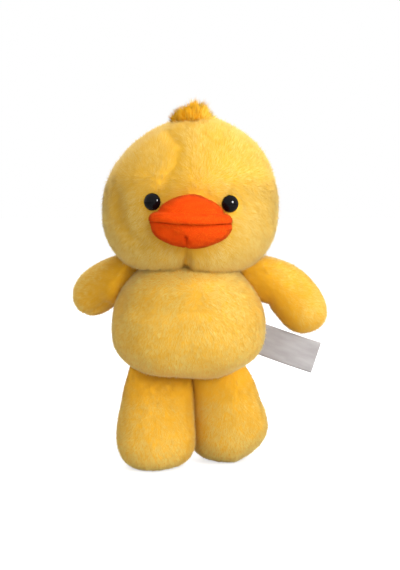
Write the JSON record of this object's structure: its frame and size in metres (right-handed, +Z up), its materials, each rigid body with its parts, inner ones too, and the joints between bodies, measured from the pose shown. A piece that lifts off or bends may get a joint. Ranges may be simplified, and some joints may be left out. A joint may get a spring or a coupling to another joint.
{
  "type": "plush chick",
  "caption": "Standing stuffed plush chick with a big round head, broad felt bill, button eyes, crest tuft, and sewn arms and legs that swing.",
  "frame": {"origin": "middle of the toy's outline on the surface that it stands on", "axes": "+Z up, the face looks along -Y, the toy's own left is +X"},
  "size_m": [0.1976, 0.1378, 0.2793],
  "materials": {
    "head_plush": "soft brushed pile",
    "body_plush": "soft pile",
    "limb_plush": "soft pile, deeper yellow",
    "bill_felt": "short brushed felt",
    "crest_pile": "long pile",
    "ribbon": "satin ribbon, bare",
    "stuffing": "polyester fibre",
    "thread": "sewing thread",
    "eye_plastic": "polished",
    "washer_plastic": "moulded"
  },
  "bodies": {
    "body": {"body_front_panel": "body_plush", "body_back_panel": "body_plush", "body_stuffing": "stuffing", "left_arm_seam_thread": "thread", "right_arm_seam_thread": "thread", "left_leg_seam_thread": "thread", "right_leg_seam_thread": "thread"},
    "neck": {"neck_seam_ring": "head_plush"},
    "head": {"head_left_panel": "head_plush", "head_right_panel": "head_plush", "head_stuffing": "stuffing", "left_eye": "eye_plastic", "left_eye_washer": "washer_plastic", "right_eye": "eye_plastic", "right_eye_washer": "washer_plastic", "upper_bill_cover": "bill_felt", "upper_bill_stuffing": "stuffing", "lower_bill_cover": "bill_felt", "lower_bill_stuffing": "stuffing", "crest_tuft": "crest_pile"},
    "label": {"ribbon_label": "ribbon"},
    "left_arm": {"left_arm_front_panel": "limb_plush", "left_arm_back_panel": "limb_plush", "left_arm_stuffing": "stuffing"},
    "right_arm": {"right_arm_front_panel": "limb_plush", "right_arm_back_panel": "limb_plush", "right_arm_stuffing": "stuffing"},
    "left_leg": {"left_leg_front_panel": "limb_plush", "left_leg_back_panel": "limb_plush", "left_leg_stuffing": "stuffing"},
    "right_leg": {"right_leg_front_panel": "limb_plush", "right_leg_back_panel": "limb_plush", "right_leg_stuffing": "stuffing"}
  },
  "joints": [
    {"name": "head_nod", "type": "hinge", "parent": "body", "child": "neck", "pos_m": [-0.00668, 0.0129, 0.1064], "axis": [1, 0, 0], "range_deg": [-12, 12], "stiffness_Nm_per_rad": 1.5},
    {"name": "head_turn", "type": "hinge", "parent": "neck", "child": "head", "pos_m": [-0.00668, 0.0129, 0.1064], "axis": [0, 0, 1], "range_deg": [-35, 35], "stiffness_Nm_per_rad": 0.6},
    {"name": "left_arm_swing", "type": "hinge", "parent": "body", "child": "left_arm", "pos_m": [0.04412, 0.0129, 0.13814], "axis": [-0.5299, 0, 0.848], "range_deg": [-45, 45], "stiffness_Nm_per_rad": 0.04},
    {"name": "right_arm_swing", "type": "hinge", "parent": "body", "child": "right_arm", "pos_m": [-0.05748, 0.0129, 0.13814], "axis": [0.5299, 0, 0.848], "range_deg": [-3, 105], "stiffness_Nm_per_rad": 0.04},
    {"name": "left_leg_swing", "type": "hinge", "parent": "body", "child": "left_leg", "pos_m": [0.02082, 0.0129, 0.0665], "axis": [1, 0, 0], "range_deg": [-50, 20], "stiffness_Nm_per_rad": 1.2},
    {"name": "right_leg_swing", "type": "hinge", "parent": "body", "child": "right_leg", "pos_m": [-0.02818, 0.0129, 0.0665], "axis": [1, 0, 0], "range_deg": [-28, 40], "stiffness_Nm_per_rad": 1.2},
    {"name": "label_flap", "type": "hinge", "parent": "body", "child": "label", "pos_m": [0.05226, 0.0129, 0.0954], "axis": [-0.309, 0, -0.9511], "range_deg": [-40, 40], "stiffness_Nm_per_rad": 0.002}
  ]
}
